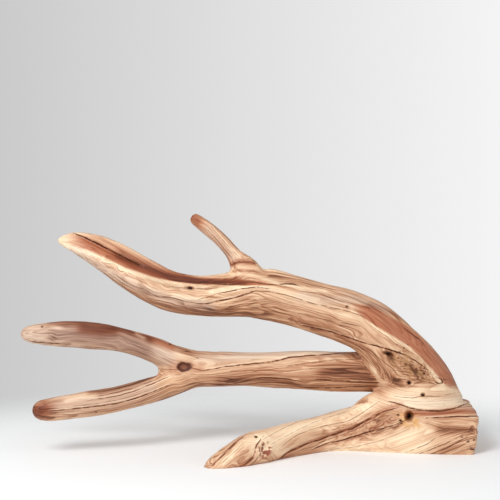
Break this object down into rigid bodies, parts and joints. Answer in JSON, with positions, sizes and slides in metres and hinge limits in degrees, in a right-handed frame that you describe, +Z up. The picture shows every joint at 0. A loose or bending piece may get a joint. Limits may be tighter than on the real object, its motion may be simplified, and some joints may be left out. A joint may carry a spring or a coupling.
{
  "type": "piece of driftwood",
  "caption": "Sea-worn root crown, cut flat to stand, with an arching hollowed limb and twig, a forked limb and a low foot, all reaching one way.",
  "frame": {"origin": "middle of the bounding box, on the floor that the flat underside and the foot rest on", "axes": "+X to the crown's sawn end, away from the limbs' tips; +Y away from the viewer; +Z up"},
  "size_m": [0.6362, 0.227, 0.3275],
  "materials": {
    "weathered_wood": "sanded, bare, satin"
  },
  "bodies": {
    "root": {"driftwood": "weathered_wood"}
  },
  "joints": []
}
